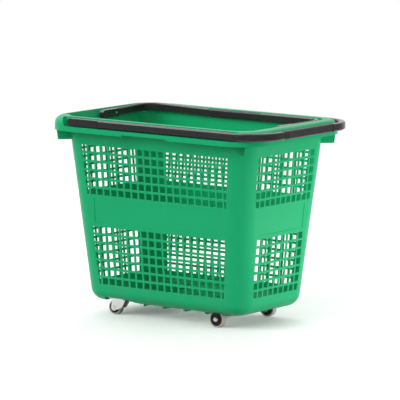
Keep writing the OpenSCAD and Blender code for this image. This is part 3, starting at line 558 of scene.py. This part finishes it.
low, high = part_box("carry_arms")
bends_low, bends_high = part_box("carry_bends")
sleeve_low, sleeve_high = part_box("carry_grip")
carry_z = (low.z + high.z) / 2
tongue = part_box("carry_arm_fittings")[1].y - low.y
side_bar = bends_high.x - BAIL_THICK / 2 - BAIL_BEND - sleeve_high.x
bail = Bar("carry_bail_drawn", (low.x + BAIL_THICK / 2, low.y, carry_z), 90,
           BAIL_CORE_THICK, BAIL_CORE_HIGH, BAIL_CORE_CHAMFER)
bail.run(tongue)
bail.neck(BAIL_THICK, BAIL_HIGH)
bail.run(high.y - low.y - tongue)
bail.bend(-90, BAIL_BEND)
bail.run(side_bar)
bail.neck(BAIL_CORE_THICK, BAIL_CORE_HIGH)
bail.run(sleeve_high.x - sleeve_low.x)
bail.neck(BAIL_THICK, BAIL_HIGH)
bail.run(side_bar)
bail.bend(-90, BAIL_BEND)
bail.run(high.y - low.y - tongue)
bail.neck(BAIL_CORE_THICK, BAIL_CORE_HIGH)
bail.run(tongue)
carry_bail = bail.finished()
only(carry_bail)
bpy.ops.object.mode_set(mode="EDIT")
bpy.ops.mesh.select_mode(type="VERT")
bpy.ops.mesh.select_all(action="DESELECT")
bpy.ops.object.mode_set(mode="OBJECT")
for point in carry_bail.data.vertices:
    point.select = point.co.x < bends_low.x + BAIL_BEND and point.co.y > bends_low.y
bpy.ops.object.mode_set(mode="EDIT")
bpy.ops.transform.translate(value=(0, 0, BAIL_SPRING), use_proportional_edit=True,
                            proportional_edit_falloff="SMOOTH", proportional_size=BAIL_SPRING_REACH)
bpy.ops.object.mode_set(mode="OBJECT")
fitted(carry_bail, "carry_handle", charcoal,
       ["carry_bar", "carry_bends", "carry_arms"], BAR_ROUND, 3, angle=BAR_ANGLE)

grip = Bar("carry_grip_drawn", (sleeve_low.x, (sleeve_low.y + sleeve_high.y) / 2, carry_z), 0,
           sleeve_high.y - sleeve_low.y, sleeve_high.z - sleeve_low.z, BAIL_CHAMFER)
grip.run(sleeve_high.x - sleeve_low.x)
carry_grip = grip.finished()
pick(carry_grip, lambda centre, normal: abs(normal.x) > SQUARE_ON)
bpy.ops.mesh.inset(thickness=(BAIL_THICK - BAIL_CORE_THICK) / 2, use_individual=True)
bored()
fitted(carry_grip, "carry_handle", sleeve, ["carry_grip"], SLEEVE_ROUND, 3, angle=BAR_ANGLE)

softened("carry_arm_fittings", "carry_handle", charcoal, BAIL_CHAMFER,
         eye_edges("carry_hinge_pins", 1, low.y + tongue, BAIL_HIGH / 2), segments=3, angle=BAR_ANGLE)
softened("carry_rivets", "carry_handle", zinc, RIVET_DOME, segments=3)
softened("carry_hinge_pins", "basket", zinc, STEEL_BREAK)

# The stage: a plain pale floor, soft lamps above, in front, behind and low on the right, a glint that only
# glossy edges show, and a far camera that looks down at the basket by eight degrees.

FLOOR_SIZE = 3.6
PAPER_BOUNCE, PAPER_WHITE = (0.36, 0.36, 0.36, 1), (0.98, 0.98, 0.98, 1)
PAPER_GLOW = 0.14

bpy.ops.object.select_all(action="DESELECT")
bpy.ops.mesh.primitive_plane_add(size=FLOOR_SIZE, location=(0, 0, 0))
floor = bpy.context.object
floor.name = "studio_floor"
paper = Finish("pale_paper")


def seen_rays(finish):
    """One where the ray comes straight from the camera, or by way of a gloss or clear surface."""
    path, shiny, clear = (finish.add("ShaderNodeLightPath", {}, {}, f"Is {kind} Ray")
                          for kind in ("Camera", "Glossy", "Transmission"))
    return finish.add("ShaderNodeMath", {"operation": "ADD", "use_clamp": True}, {0: path + shiny, 1: clear})


paper.dress(
    Base_Color=paper.blend(seen_rays(paper), PAPER_BOUNCE, PAPER_WHITE),
    Roughness=1.0,
    Specular_IOR_Level=0.0,
    Emission_Color=paper.blend(seen_rays(paper), (0, 0, 0, 1), (1, 1, 1, 1)),
    Emission_Strength=PAPER_GLOW,
)
floor.data.materials.append(paper.material)


class Surround(Finish):
    """The light from all around, as nodes of the world."""

    def __init__(self, name):
        self.world = bpy.data.worlds.new(name)
        self.world.use_nodes = True
        self.nodes = self.world.node_tree.nodes
        self.links = self.world.node_tree.links
        self.shader = self.nodes["Background"]


BACKDROP = (-0.6, 0.8, 0)
ALL_ROUND, GLOSS_DIMMED = 0.14, 0.73

surround = Surround("studio")
behind = surround.add("ShaderNodeVectorMath", {"operation": "DOT_PRODUCT"},
                      {0: surround.place(), 1: BACKDROP}, "Value")
above = surround.add("ShaderNodeSeparateXYZ", {}, {"Vector": surround.place()}, "Z")
shiny = surround.add("ShaderNodeLightPath", {}, {}, "Is Glossy Ray")
dim = shiny * (1 - surround.mask(behind, 0.3, 0.9)) * (1 - surround.mask(above, 0.5, 0.8))
surround.dress(
    Color=(1, 1, 1, 1),
    Strength=ALL_ROUND + (1 - ALL_ROUND - GLOSS_DIMMED * dim) * seen_rays(surround),
)
bpy.context.scene.world = surround.world

for name, turn, strength, spread, lit, glossy in (
    ("top_light", (5, 0, 110), 1.1, 150, True, False),
    ("front_light", (65, 0, -26), 2.2, 54, True, False),
    ("back_light", (54, 0, -138), 1.4, 60, True, False),
    ("edge_glint", (38, 0, -77), 2.0, 50, False, True),
):
    bpy.ops.object.light_add(type="SUN", rotation=[math.radians(a) for a in turn])
    lamp = bpy.context.object
    lamp.name = name
    lamp.data.energy = strength
    lamp.data.angle = math.radians(spread)
    lamp.visible_diffuse = lit
    lamp.visible_glossy = glossy
bpy.ops.object.light_add(
    type="AREA", location=(0.75, 0.28, 0.12), rotation=(math.radians(90), 0, math.radians(102)))
panel = bpy.context.object
panel.name = "right_panel"
panel.data.shape = "RECTANGLE"
panel.data.size, panel.data.size_y = 1.1, 0.22
panel.data.energy = 4.5
panel.visible_camera = False
panel.visible_glossy = False

bpy.ops.object.camera_add(location=(4.9380, -6.6150, 1.3917))
camera = bpy.context.object
camera.rotation_euler = [math.radians(a) for a in (82.0705, -0.2239, 36.7760)]
camera.data.lens = 364.59
camera.data.sensor_width = 36
camera.data.clip_end = 100
bpy.context.scene.camera = camera
bpy.context.scene.view_settings.view_transform = "Standard"
